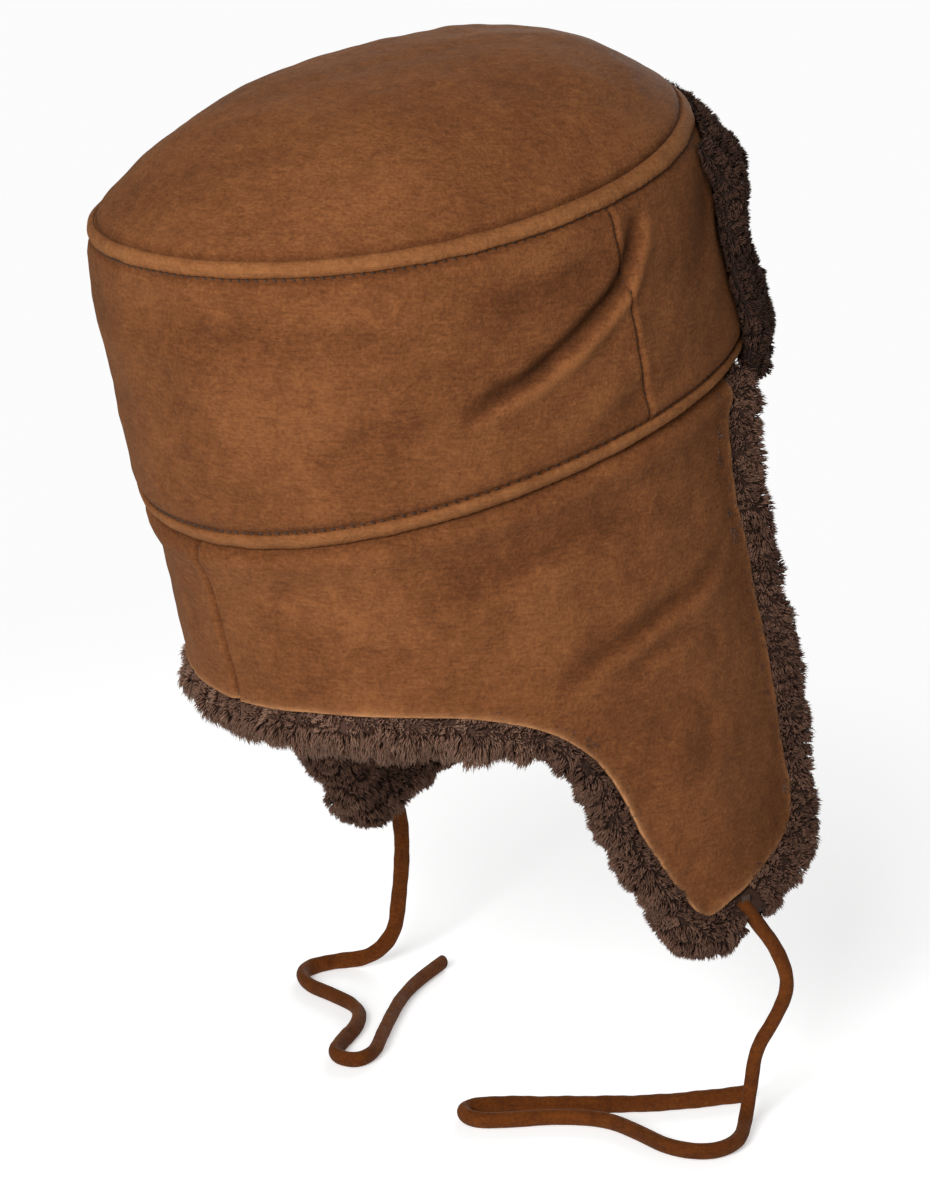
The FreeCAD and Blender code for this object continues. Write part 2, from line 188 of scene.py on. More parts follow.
def add_mesh(name, points, triangles, **attributes):
    """A smooth mesh object from points in millimetres; attributes are one number a point."""
    mesh = bpy.data.meshes.new(name)
    mesh.vertices.add(len(points))
    mesh.vertices.foreach_set("co", (points * MM).astype(np.float32).ravel())
    mesh.loops.add(len(triangles) * 3)
    mesh.loops.foreach_set("vertex_index", triangles.astype(np.int32).ravel())
    mesh.polygons.add(len(triangles))
    mesh.polygons.foreach_set("loop_start", np.arange(0, len(triangles) * 3, 3, dtype=np.int32))
    mesh.update(calc_edges=True)
    mesh.polygons.foreach_set("use_smooth", np.ones(len(triangles), dtype=bool))
    rest = mesh.attributes.new("rest", "FLOAT_VECTOR", "POINT")
    rest.data.foreach_set("vector", (points * MM).astype(np.float32).ravel())
    for label, values in attributes.items():
        layer = mesh.attributes.new(label, "FLOAT", "POINT")
        layer.data.foreach_set("value", np.asarray(values, dtype=np.float32))
    piece = bpy.data.objects.new(name, mesh)
    bpy.context.scene.collection.objects.link(piece)
    return piece


def unit(vectors):
    """Vectors brought to length one."""
    return vectors / np.linalg.norm(vectors, axis=1, keepdims=True)


def facing_out(points, triangles):
    """Turns a closed mesh's triangles so that they face outwards."""
    a, b, c = (points[triangles[:, corner]] for corner in range(3))
    volume = np.einsum("ij,ij->i", a, np.cross(b, c)).sum()
    return triangles if volume > 0 else triangles[:, ::-1]


def band_triangles(first, second):
    """Triangles between two closed loops of as many points."""
    first_next, second_next = np.roll(first, -1), np.roll(second, -1)
    return np.concatenate([
        np.stack([first, first_next, second_next], axis=1),
        np.stack([first, second_next, second], axis=1),
    ])


def tube(sections):
    """A closed tube through sections of points, fanned shut at both ends."""
    count, size = sections.shape[:2]
    numbers = np.arange(count * size).reshape(count, size)
    triangles = [band_triangles(numbers[row], numbers[row + 1]) for row in range(count - 1)]
    middles = [count * size, count * size + 1]
    for row, middle in ((0, middles[0]), (count - 1, middles[1])):
        loop = numbers[row] if row else numbers[row][::-1]
        triangles.append(np.stack([loop, np.roll(loop, -1), np.full(size, middle)], axis=1))
    points = np.concatenate([sections.reshape(-1, 3), [sections[0].mean(0)], [sections[-1].mean(0)]])
    triangles = np.concatenate(triangles)
    return points, facing_out(points, triangles)


# ---------------------------------------------------------------- flat shapes

def smooth_curve(points, step):
    """Points about a step apart on a Catmull-Rom curve through the given ones."""
    points = np.asarray(points, float)
    padded = np.concatenate([[2 * points[0] - points[1]], points, [2 * points[-1] - points[-2]]])
    found = []
    for before, start, end, after in zip(padded, padded[1:], padded[2:], padded[3:]):
        count = max(2, int(np.linalg.norm(end - start) / step))
        t = (np.arange(count) / count)[:, None]
        found.append(0.5 * (2 * start + (end - before) * t + (2 * before - 5 * start + 4 * end - after) * t ** 2
                            + (3 * start - before - 3 * end + after) * t ** 3))
    return np.concatenate(found + [points[-1:]])


def evenly(line, step):
    """Points a step apart along a line of straight runs."""
    line = np.asarray(line, float)
    along = np.concatenate([[0.0], np.cumsum(np.linalg.norm(np.diff(line, axis=0), axis=1))])
    stations = np.linspace(0.0, along[-1], max(2, int(round(along[-1] / step)) + 1))
    return np.stack([np.interp(stations, along, line[:, axis]) for axis in range(line.shape[1])], axis=1)


def loop_of(*lines, step):
    """One closed outline from lines that follow each other, evenly spaced, with no point twice."""
    return np.concatenate([evenly(line, step)[:-1] for line in lines])


def clip(line, keep):
    """The run of a line where keep is positive, with its ends on the limit."""
    value = keep(line)
    inside = np.nonzero(value > 0)[0]
    first, last = inside[0], inside[-1]
    ends = []
    for here, there in ((first, first - 1), (last, last + 1)):
        if 0 <= there < len(line):
            share = value[here] / (value[here] - value[there])
            ends.append(line[here] + (line[there] - line[here]) * share)
        else:
            ends.append(line[here])
    return np.concatenate([[ends[0]], line[first + 1:last], [ends[1]]])


def nearest_on(points, line):
    """Distance of each point from a line, the share of the line where that is, and its side, 1 or -1."""
    line = np.asarray(line, float)
    starts, run = line[:-1], np.diff(line, axis=0)
    squared = (run ** 2).sum(1)
    pieces = max(1, len(points) * len(starts) // 2000000)
    distance, share, side = [], [], []
    for some in np.array_split(points, pieces):
        away = some[:, None] - starts
        along = np.clip((away * run).sum(-1) / squared, 0.0, 1.0)
        away = away - run * along[..., None]
        gap = (away ** 2).sum(-1)
        best = gap.argmin(1)
        rows = np.arange(len(some))
        chosen = away[rows, best]
        distance.append(np.sqrt(gap[rows, best]))
        share.append((best + along[rows, best]) / len(starts))
        side.append(np.sign(run[best, 0] * chosen[:, 1] - run[best, 1] * chosen[:, 0]))
    return np.concatenate(distance), np.concatenate(share), np.concatenate(side)


def within(points, outline):
    """True for each point inside an outline."""
    x, y = points[:, 0, None], points[:, 1, None]
    start, end = outline, np.roll(outline, -1, axis=0)
    with np.errstate(divide="ignore", invalid="ignore"):
        crossing = start[:, 0] + (y - start[:, 1]) * (end[:, 0] - start[:, 0]) / (end[:, 1] - start[:, 1])
    spans = (start[:, 1] > y) != (end[:, 1] > y)
    return (spans & (x < crossing)).sum(1) % 2 == 1


def normals_of(outline, closed=True):
    """Unit normals of a flat line, on its left."""
    if closed:
        run = np.roll(outline, -1, axis=0) - np.roll(outline, 1, axis=0)
    else:
        run = np.gradient(outline, axis=0)
    run = unit(run)
    return np.stack([-run[:, 1], run[:, 0]], axis=1)


def patch(outline, spacing, rows=()):
    """Triangles that fill an outline: its own points first, then rows beside it and a lattice inside."""
    turning = (outline[:, 0] * np.roll(outline[:, 1], -1) - outline[:, 1] * np.roll(outline[:, 0], -1)).sum()
    outline = outline if turning > 0 else outline[::-1]
    closed = np.concatenate([outline, outline[:1]])
    inward = normals_of(outline)
    found = [outline]
    for row in rows:
        beside = outline + inward * row
        found.append(beside[(nearest_on(beside, closed)[0] > row * 0.93) & within(beside, outline)])
    low, high = outline.min(0), outline.max(0)
    columns = np.arange(low[0], high[0], spacing)
    levels = np.arange(low[1], high[1], spacing * 0.866)
    lattice = np.stack(np.meshgrid(columns, levels), axis=-1)
    lattice[1::2, :, 0] += spacing / 2
    lattice = lattice.reshape(-1, 2)
    lattice = lattice[within(lattice, outline)]
    clear = max(rows, default=0.0) + spacing * 0.6
    found.append(lattice[nearest_on(lattice, closed)[0] > clear])
    count = len(outline)
    edges = [(number, (number + 1) % count) for number in range(count)]
    flat = [Vector(point) for point in np.concatenate(found)]
    points, _, triangles, origins, _, _ = delaunay_2d_cdt(flat, edges, [], 1, 1e-4)
    points = np.array([tuple(point) for point in points])
    place_of = {old: new for new, olds in enumerate(origins) for old in olds}
    border = np.array([place_of[number] for number in range(count)])
    return points, np.array(triangles), border


def shell(name, outline, spacing, place, rows=(), rim=(0.12, 0.5, 0.88), bulge=0.5, tone=None, frayed=None):
    """A closed sheet over a flat outline; place gives the points at a depth from 0, outer face, to 1, inner face.

    The sheet is worn along the frayed line.
    """
    flat, triangles, border = patch(outline, spacing, rows)
    edge = flat[border]
    outward = -normals_of(edge)
    count = len(flat)
    points = [place(flat, np.zeros(count)), place(flat, np.ones(count))]
    faces = [triangles, triangles[:, ::-1] + count]
    loops = [border]
    for number, depth in enumerate(rim):
        beyond = edge + outward * bulge * math.sin(math.pi * depth)
        points.append(place(beyond, np.full(len(edge), depth)))
        loops.append(2 * count + number * len(edge) + np.arange(len(edge)))
    loops.append(border + count)
    for first, second in zip(loops, loops[1:]):
        faces.append(band_triangles(second, first))
    points, faces = np.concatenate(points), np.concatenate(faces)
    wear = np.zeros(len(points))
    if frayed is not None:
        near = np.exp(-nearest_on(flat, frayed)[0] / 0.9)
        wear = np.concatenate([near, near, np.tile(near[border], len(rim))])
    # tone gives painted shade and painted highlight, kept in the fold attribute; the rim gets none.
    fold = tone(flat) if tone else np.zeros(count)
    fold = np.concatenate([fold, fold, np.zeros(len(rim) * len(edge))])
    return add_mesh(name, points, facing_out(points, faces), wear=wear, fold=fold)


# ---------------------------------------------------------------- the hat's surfaces

def rounded_square(turn, squareness):
    """Cosine and sine of a turn, pushed a little towards a square."""
    power = 2.0 / squareness
    ahead, side = np.cos(turn), np.sin(turn)
    return np.sign(ahead) * np.abs(ahead) ** power, np.sign(side) * np.abs(side) ** power


def ring(shape, turn, offset):
    """Points of a curve round the head, grown outwards by an offset."""
    length, width, setback, height, rise, lift, squareness = shape
    ahead, side = rounded_square(turn, squareness)
    return np.stack([-(width + offset) * side, setback - (length + offset) * ahead,
                     height + rise * ahead + lift * ahead ** 2], axis=-1)


def seam_level(turn):
    """Height of the cuff seam."""
    return ring(CUFF_RING, turn, 0.0)[..., 2]


def wall_height(turn):
    """Height of the crown wall, measured along it."""
    return 92.3 - 7.1 * np.cos(turn) + 8.0 * np.cos(turn) ** 2


def wall_swell(rise):
    """How far the crown wall puffs out between its seams."""
    even = np.where(rise < 0.5, 8.0, 4.0)
    return 4.2 * (1 - np.abs(2 * np.clip(rise, 0.0, 1.0) - 1) ** even) + 1.2 * bump(rise - 0.72, 0.15)


def wall_surface(points, offset):
    """Crown wall over flat points (turn times radius, height above the cuff seam)."""
    turn = points[:, 0] / RADIUS
    rise = points[:, 1] / wall_height(turn)
    offset = offset + wall_swell(rise)
    rise = rise[:, None]
    return ring(CUFF_RING, turn, offset) * (1 - rise) + ring(TOP_RING, turn, offset) * rise


def cuff_surface(points, offset):
    """Cuff over flat points (turn times radius, level); it puffs out a little under its seam."""
    turn = points[:, 0] / RADIUS
    offset = offset + 1.9 * bump(seam_level(turn) - points[:, 1] - 7.0, 6.0)
    high, low = ring(CUFF_RING, turn, offset), ring(HEM_RING, turn, offset)
    share = ((high[:, 2] - points[:, 1]) / (high[:, 2] - low[:, 2]))[:, None]
    return high * (1 - share) + low * share


def dome_height(points):
    """Height of the top panel over flat points (ahead, side)."""
    length, width, _, height, rise, lift, squareness = TOP_RING
    share = points / (length, width)
    reach = (np.abs(share) ** squareness).sum(1) ** (1 / squareness)
    ahead = share[:, 0]
    return height + rise * ahead + lift * ahead ** 2 + DOME_RISE * (1 - reach ** DOME_POWER)


def dome_surface(points, offset):
    """Top panel over flat points (ahead, side)."""
    step = 0.05
    level = dome_height(points)
    slopes = [(dome_height(points + move) - level) / step for move in ((step, 0.0), (0.0, step))]
    normal = np.stack([-slopes[0], -slopes[1], np.ones(len(points))], axis=1)
    normal = unit(normal)
    local = np.column_stack([points, level]) + normal * np.asarray(offset)[..., None]
    return np.stack([-local[:, 1], TOP_RING[2] - local[:, 0], local[:, 2]], axis=1)


def turn_at(y, z):
    """Turn, on the wearer's right, where the cuff's outer face has this y and z."""
    low, high = 0.0, math.pi
    for _ in range(40):
        middle = (low + high) / 2
        if cuff_surface(np.array([[middle * RADIUS, z]]), 0.0)[0, 1] < y:
            low = middle
        else:
            high = middle
    return middle


# ---------------------------------------------------------------- relief

def bump(distance, width):
    return np.exp(-(distance / width) ** 2)


def ease(low, high, value):
    share = np.clip((value - low) / (high - low), 0.0, 1.0)
    return share * share * (3 - 2 * share)


def lumps(points, size, seed, waves=16):
    """Smooth seeded unevenness about one high, with lumps of about a size; works on flat or solid points."""
    random = np.random.default_rng(seed)
    direction = random.normal(size=(points.shape[1], waves))
    direction /= np.linalg.norm(direction, axis=0)
    pitch = size * random.uniform(0.7, 1.5, waves)
    phase = random.uniform(0, FULL_TURN, waves)
    return np.sin(points @ direction * (FULL_TURN / pitch) + phase).sum(1) / math.sqrt(waves / 2)


def uneven(points, *layers):
    """Lumps of several heights and sizes, each with its own seed, on top of each other."""
    return sum(height * lumps(points, size, seed) for height, size, seed in layers)


def fold(points, line, width, depth, lip):
    """A fold along a line: a valley that is steep on the line's right, with a raised lip there."""
    distance, share, side = nearest_on(points, smooth_curve(line, 3.0))
    fade = np.sin(math.pi * np.clip(share, 0.0, 1.0)) ** 0.7
    across = distance * side / width
    valley = np.where(across > 0, bump(across, 1.7), bump(across, 0.8))
    return depth * fade * (lip * bump(across + 2.0, 1.1) - valley)


def mirrored_folds(points, folds, place):
    """Folds on the wearer's right, and weaker and lower ones on the left."""
    half_way = HALF_TURN * RADIUS
    flat = points.copy()
    flat[:, 0] = (flat[:, 0] + half_way) % (2 * half_way) - half_way
    total = np.zeros(len(points))
    for line, width, depth, lip in folds:
        right = place(np.array(line))
        total += fold(flat, right, width, depth, lip)
        total += fold(flat + (2 * half_way, 0.0), right, width, depth, lip) * (right[:, 0].max() > half_way)
        left = right * (-1.0, 1.0) + (0.0, -5.0)
        total += fold(flat, left, width * 1.2, depth * 0.7, lip)
    return total


def wall_place(line):
    turn = np.radians(line[:, 0])
    return np.stack([turn * RADIUS, line[:, 1] * wall_height(turn)], axis=1)


def cuff_place(line):
    return np.stack([np.radians(line[:, 0]) * RADIUS, line[:, 1]], axis=1)


def side_seam(rise):
    """Turn of the side seam at a share of the wall's height."""
    return np.radians(84.3 - 2.4 * rise)


def wall_layout(points):
    """Distance of flat points on the crown wall from the seams round the head, and past the side seam."""
    turn = points[:, 0] / RADIUS
    low, whole = points[:, 1], wall_height(turn)
    turn = (turn + HALF_TURN) % FULL_TURN - HALF_TURN
    return np.minimum(low, whole - low), (np.abs(turn) - side_seam(low / whole)) * RADIUS


def cuff_layout(points):
    """Distance of flat points on the cuff below its seam, and from the back seam."""
    turn = points[:, 0] / RADIUS
    return seam_level(turn) - points[:, 1], (np.abs(turn) - HALF_TURN) * RADIUS


# Start and end turn of the two parts of the crown wall, for a share of its height.
BAND_ENDS = {
    "band_back": (side_seam, lambda rise: FULL_TURN - side_seam(rise)),
    "band_front": (lambda rise: -side_seam(rise), side_seam),
}


def wall_relief(points):
    """Height of the crown wall's leather over its plain surface."""
    edge, seam = wall_layout(points)
    pucker = 0.16 * np.cos(FULL_TURN * points[:, 0] / STITCH_PITCH) * bump(edge - STITCH_ROW - 0.9, 1.4)
    stitched = 0.75 * bump(edge - 10.5, 3.4) - 1.0 * bump(edge - STITCH_ROW, 0.85) + pucker
    joined = 0.28 * bump(np.abs(seam) - 1.9, 1.1) - 0.8 * bump(seam, 0.6)
    solid = wall_surface(points, 0.0)
    lumpy = uneven(solid, (0.42, 62.0, 1), (0.24, 24.0, 2), (0.07, 8.0, 3))
    return stitched + joined * ease(5.0, 7.0, edge) + ease(4.0, 18.0, edge) * (
        lumpy + mirrored_folds(points, WALL_FOLDS, wall_place))


def cuff_relief(points):
    """Height of the cuff's leather over its plain surface."""
    below, back = cuff_layout(points)
    tucked = -2.0 * bump(np.maximum(below, 0.0), 2.2) + 0.6 * bump(below - 7.0, 3.5)
    joined = 0.5 * bump(np.abs(back) - 3.2, 1.4) - (1.5 + 0.9 * ease(10.0, 40.0, below)) * bump(back, 1.2)
    solid = cuff_surface(points, 0.0)
    lumpy = uneven(solid, (0.45, 70.0, 5), (0.26, 26.0, 6), (0.08, 9.0, 7))
    return tucked + joined + ease(3.0, 16.0, below) * (lumpy + mirrored_folds(points, CUFF_FOLDS, cuff_place))


def rim_distance(points):
    """About how far inside the top seam a flat point is."""
    share = np.abs(points / TOP_RING[:2])
    reach = (share ** TOP_RING[6]).sum(1) ** (1 / TOP_RING[6])
    return (1 - reach) * (TOP_RING[0] + TOP_RING[1]) / 2


def dome_relief(points):
    """Height of the top panel's leather over its plain surface."""
    inside = rim_distance(points)
    solid = dome_surface(points, np.zeros(len(points)))
    lumpy = uneven(solid, (0.3, 75.0, 8), (0.22, 28.0, 9), (0.07, 9.0, 10))
    return 0.5 * bump(inside - 4.0, 2.2) - 1.9 * bump(inside, 1.3) + ease(1.0, 22.0, inside) * lumpy


def wall_painted_light_and_shade(points):
    """Painted shade and painted highlight on the crown wall: darker in the folds, by the stitching and in the side
    seams, paler on the fold lips and beside the side seams.
    """
    edge, seam = wall_layout(points)
    stitched = -0.55 * bump(edge - STITCH_ROW - 0.6, 1.6)
    joined = 0.4 * bump(seam + 1.6, 0.9) - 0.45 * bump(seam, 0.6)
    folded = mirrored_folds(points, WALL_FOLDS, wall_place) / 1.6
    return np.clip(stitched + joined * ease(5.0, 8.0, edge) + folded, -1.6, 1.0)


def cuff_painted_light_and_shade(points):
    """Painted shade and painted highlight on the cuff: darker in the folds, under the cuff seam and in the back seam,
    paler on the fold lips.
    """
    below, back = cuff_layout(points)
    folded = mirrored_folds(points, CUFF_FOLDS, cuff_place) / 1.8
    return np.clip(folded - 0.7 * bump(np.maximum(below, 0.0), 2.4) - 1.0 * bump(back, 1.1), -1.6, 1.0)


def dome_painted_shade(points):
    """Painted shade on the top panel: darker along the top seam."""
    return -0.7 * bump(np.maximum(rim_distance(points), 0.0), 1.8)


# ---------------------------------------------------------------- wool

def tufts(piece_points, piece_faces, density, length, lean, seed, width=0.27, lock=4.0):
    """Slender fibres on a body, drawn together in locks: density, length and lean are functions of the roots."""
    random = np.random.default_rng(seed)
    corners = piece_points[piece_faces]
    cross = np.cross(corners[:, 1] - corners[:, 0], corners[:, 2] - corners[:, 0])
    area = np.linalg.norm(cross, axis=1) / 2
    normal = cross / np.maximum(np.linalg.norm(cross, axis=1, keepdims=True), 1e-9)
    wanted = area * density(corners.mean(1), normal)
    count = int(wanted.sum())
    chosen = random.choice(len(area), size=count, p=wanted / wanted.sum())
    u, v = random.random((2, count))
    flipped = u + v > 1
    u[flipped], v[flipped] = 1 - u[flipped], 1 - v[flipped]
    corner = corners[chosen]
    root = corner[:, 0] + (corner[:, 1] - corner[:, 0]) * u[:, None] + (corner[:, 2] - corner[:, 0]) * v[:, None]
    normal = normal[chosen]
    hearts = root[random.random(count) < area[wanted > 0].sum() / lock ** 2 / count]
    nearest = np.zeros(count, dtype=int)
    for some in np.array_split(np.arange(count), max(1, count * len(hearts) // 3000000)):
        nearest[some] = ((root[some, None] - hearts) ** 2).sum(-1).argmin(1)
    sway = random.normal(size=(len(hearts), 3)) * 0.24
    long = random.uniform(0.75, 1.15, len(hearts))
    aim = lean(root, normal) + sway[nearest] + random.normal(size=(count, 3)) * 0.13
    aim = unit(aim)
    size = length(root, normal) * long[nearest] * random.uniform(0.75, 1.1, count)
    tip = root + aim * size[:, None]
    pull = hearts[nearest] + aim * size[:, None] * 1.05 - tip
    tip = tip + pull * random.uniform(0.15, 0.5, (count, 1))
    middle = root * 0.55 + tip * 0.45 + normal * size[:, None] * 0.12
    middle += random.normal(size=(count, 3)) * 0.07 * size[:, None]
    side = np.cross(aim, random.normal(size=(count, 3)))
    side = unit(side)
    other = np.cross(aim, side)
    girth = width * random.uniform(0.7, 1.3, count)[:, None]
    rings = [root - normal * 0.8]
    for step in range(3):
        angle = step * FULL_TURN / 3
        rings.append(middle + (side * math.cos(angle) + other * math.sin(angle)) * girth)
    points = np.stack(rings + [tip], axis=1).reshape(-1, 3)
    shape = np.array([(0, 2, 1), (0, 3, 2), (0, 1, 3), (4, 1, 2), (4, 2, 3), (4, 3, 1)])
    faces = (shape[None] + 5 * np.arange(count)[:, None, None]).reshape(-1, 3)
    along = np.tile([0.0, 0.5, 0.5, 0.5, 1.0], count)
    shade = random.random(len(hearts))[nearest] * 0.6 + random.random(count) * 0.4
    return points, faces, along, np.repeat(shade, 5)


def wool(name, fleece, node, outline, spacing, place, density, length, lean, seed, rows=(), pale=0.0, fill=0.7,
         body=None, **options):
    """A lumpy body of wool with tufts on it, as one padded mesh; a positive pale lightens the whole piece as painted
    light, a negative one darkens it as painted shade.
    """
    core = shell(name + "_body", outline, spacing, place, rows, rim=(0.2, 0.5, 0.8), bulge=0.0)
    mesh = core.data
    points = np.empty(len(mesh.vertices) * 3)
    mesh.vertices.foreach_get("co", points)
    points = points.reshape(-1, 3) / MM
    faces = np.empty(len(mesh.polygons) * 3, dtype=np.int32)
    mesh.loops.foreach_get("vertex_index", faces)
    faces = faces.reshape(-1, 3)
    bpy.data.objects.remove(core)
    hair, hair_faces, along, shade = tufts(points, faces, density, length, lean, seed, **options)
    all_points = np.concatenate([points, hair])
    all_faces = np.concatenate([faces, hair_faces + len(points)])
    # The body takes the root colour, near black: partly painted shade under the fibres.
    along = np.concatenate([np.zeros(len(points)), along])
    # pale adds painted light and painted shade to the whole piece; the random shade of the locks is the fleece's own.
    shade = np.concatenate([np.full(len(points), 0.4), shade]) + pale
    piece = give(add_mesh(name, all_points, all_faces, along=along, shade=shade), fleece, "wool", node, body=body)
    return piece


# ---------------------------------------------------------------- outlines of the panels

def band_outline(start, end, low, high, inset, step):
    """Outline of a part of the crown wall between the turns that two functions of the rise give."""
    rise = np.linspace(0.0, 1.0, 30)
    lower, upper = start(rise), end(rise)
    left = np.stack([lower * RADIUS + inset, low + rise * (wall_height(lower) - low - high)], axis=1)
    right = np.stack([upper * RADIUS - inset, low + rise * (wall_height(upper) - low - high)], axis=1)
    turns = np.linspace(lower[0], upper[0], 200)
    bottom = np.stack([turns * RADIUS, np.full(200, low)], axis=1)
    turns = np.linspace(upper[-1], lower[-1], 200)
    top = np.stack([turns * RADIUS, wall_height(turns) - high], axis=1)
    bottom[0], bottom[-1] = left[0], right[0]
    top[0], top[-1] = right[-1], left[-1]
    return loop_of(bottom, right, top, left[::-1], step=step)


def upright_band(half, low, high, step):
    """Outline of a part of the crown wall to the same turn on both sides of the front."""
    return band_outline(lambda rise: np.full(len(rise), -half), lambda rise: np.full(len(rise), half), low, high,
                        0.0, step)


def leather_edge(step):
    """The cuff leather's free edge as a flat line, from the front of the cuff seam past the nape's middle."""
    flat = [(turn_at(y, z) * RADIUS, z) for y, z in LEATHER_EDGE]
    back = HALF_TURN * RADIUS
    beyond = [(2 * back - x, z) for x, z in flat[:-3:-1]]
    return smooth_curve(flat + [(back, NAPE_LEVEL)] + beyond, step)


def fringe_edge(edge, reach, seed):
    """A line outside the leather's edge, a little uneven."""
    outward = -normals_of(edge, closed=False)
    outward = outward if outward[len(edge) // 4, 1] < 0.5 else -outward
    ragged = uneven(edge, (1.1, 17.0, seed), (0.5, 7.0, seed + 1))
    return edge + outward * (reach + ragged)[:, None]


# ---------------------------------------------------------------- materials

class Material:
    """A material's node tree, built socket by socket."""

    def __init__(self, name):
        self.material = bpy.data.materials.new(name)
        self.material.use_nodes = True
        self.tree = self.material.node_tree
        self.shader = self.tree.nodes["Principled BSDF"]

    def set(self, node, values):
        for label, value in values.items():
            socket = node.inputs[label]
            if isinstance(value, bpy.types.NodeSocket):
                self.tree.links.new(value, socket)
            else:
                socket.default_value = value

    def add(self, kind, values=None, **settings):
        node = self.tree.nodes.new("ShaderNode" + kind)
        for label, value in settings.items():
            setattr(node, label, value)
        self.set(node, values or {})
        return node

    def attribute(self, name, output="Fac"):
        return self.add("Attribute", attribute_name=name).outputs[output]

    def stretched(self, scale, rotation=(0.0, 0.0, 0.0)):
        mapping = self.add("Mapping", {"Vector": self.attribute("rest", "Vector"), "Scale": scale,
                                       "Rotation": rotation})
        return mapping.outputs["Vector"]

    def noise(self, size, detail=3.0, rough=0.55, distortion=0.0, vector=None):
        """Noise with features of a size in millimetres."""
        vector = vector or self.attribute("rest", "Vector")
        node = self.add("TexNoise", {"Vector": vector, "Scale": 1.0 / (size * MM), "Detail": detail,
                                     "Roughness": rough, "Distortion": distortion})
        return node.outputs["Fac"]

    def math(self, operation, first, second=0.0, third=0.0):
        node = self.add("Math", {0: first, 1: second, 2: third}, operation=operation)
        return node.outputs[0]

    def ramp(self, value, *stops):
        node = self.add("ValToRGB", {"Fac": value})
        elements = node.color_ramp.elements
        while len(elements) < len(stops):
            elements.new(0.5)
        for element, (position, colour) in zip(elements, stops):
            element.position = position
            element.color = (*colour, 1.0)
        return node.outputs["Color"]

    def mix(self, factor, first, second, blend="MIX"):
        node = self.add("Mix", {0: factor, 6: first, 7: second}, data_type="RGBA", blend_type=blend)
        return node.outputs[2]

    def bump(self, height, distance, strength=1.0, below=None):
        values = {"Height": height, "Distance": distance * MM, "Strength": strength}
        if below is not None:
            values["Normal"] = below
        return self.add("Bump", values).outputs["Normal"]

    def finish(self, **values):
        self.set(self.shader, {label.replace("_", " "): value for label, value in values.items()})
        return self.material


def suede(name, dark, middle, light, edge):
    """Suede: soft mottling, brushed streaks and a fine nap, paler where it is cut or rubbed, with painted shade in
    folds and seams and painted highlight on fold lips and welts.
    """
    m = Material(name)
    broad = m.noise(42.0, 2.0, 0.5)
    blotch = m.noise(7.5, 5.0, 0.62, 0.5)
    nap = m.noise(1.2, 3.0, 0.65)
    streak = m.noise(5.0, 4.0, 0.62, 0.7, m.stretched((1.0, 1.0, 4.5), (0.5, 0.35, 0.0)))
    total = m.math("MULTIPLY", broad, 0.20)
    for part, share in ((blotch, 0.23), (nap, 0.33), (streak, 0.24)):
        total = m.math("MULTIPLY_ADD", part, share, total)
    # The fold attribute paints shade into folds, seams and stitching and a highlight onto fold lips and welts; the
    # lowest ramp stop is the deepest painted shade.
    total = m.math("MULTIPLY_ADD", m.attribute("fold"), 0.13, total)
    colour = m.ramp(total, (0.20, tuple(part * 0.42 for part in dark)), (0.41, dark), (0.50, middle), (0.60, light))
    worn = m.math("MULTIPLY", m.attribute("wear"), m.math("MULTIPLY_ADD", blotch, 1.5, 0.05))
    colour = m.mix(worn, colour, (*edge, 1.0))
    grain = m.bump(nap, 0.4, 0.8)
    wrinkle = m.bump(streak, 1.0, 0.6, grain)
    surface = m.bump(blotch, 1.0, 0.45, wrinkle)
    rough = m.math("MULTIPLY_ADD", blotch, 0.16, 0.82)
    return m.finish(Base_Color=colour, Roughness=rough, Normal=surface, Specular_IOR_Level=0.12,
                    Sheen_Weight=0.06, Sheen_Roughness=0.5, Sheen_Tint=(0.8, 0.42, 0.18, 1.0))


def wool_material():
    """Shearling: near black at the skin, partly painted shade deep in the pile, brown in the middle, greyish tips, in
    locks of differing shade.
    """
    m = Material("shearling_wool")
    along, shade = m.attribute("along"), m.attribute("shade")
    patchy = m.noise(11.0, 2.0, 0.5)
    level = m.math("MULTIPLY_ADD", along, 0.50, m.math("MULTIPLY", shade, 0.30))
    level = m.math("MULTIPLY_ADD", patchy, 0.26, level)
    colour = m.ramp(level, (0.12, (0.017, 0.0075, 0.0045)), (0.40, (0.058, 0.0255, 0.0155)),
                    (0.70, (0.165, 0.084, 0.054)), (1.0, (0.36, 0.22, 0.150)))
    surface = m.bump(m.noise(0.9, 2.0, 0.6), 0.4, 0.6)
    return m.finish(Base_Color=colour, Roughness=0.75, Normal=surface, Specular_IOR_Level=0.2,
                    Sheen_Weight=0.05, Sheen_Roughness=0.4, Sheen_Tint=(0.6, 0.42, 0.32, 1.0))


def thread_material():
    m = Material("waxed_thread")
    twist = m.noise(0.5, 2.0, 0.5, 0.0, m.stretched((1.0, 1.0, 3.0)))
    colour = m.ramp(twist, (0.35, (0.022, 0.010, 0.005)), (0.7, (0.06, 0.028, 0.013)))
    return m.finish(Base_Color=colour, Roughness=0.55, Normal=m.bump(twist, 0.2, 0.6))


def floor_material():
    """A pale floor that fades into the pale world round it."""
    m = Material("studio_floor")
    tone = m.noise(600.0, 2.0)
    colour = m.ramp(tone, (0.3, (0.84, 0.84, 0.84)), (0.7, (0.87, 0.87, 0.865)))
    reach = m.add("VectorMath", {0: m.attribute("rest", "Vector")}, operation="LENGTH").outputs["Value"]
    fade = m.add("MapRange", {"Value": reach, "From Min": 0.29, "From Max": 0.75, "To Min": 1.0, "To Max": 0.0},
                 interpolation_type="SMOOTHSTEP").outputs["Result"]
    return m.finish(Base_Color=colour, Roughness=0.9, Specular_IOR_Level=0.1, Emission_Color=(1.0, 1.0, 1.0, 1.0),
                    Emission_Strength=0.36, Alpha=fade)


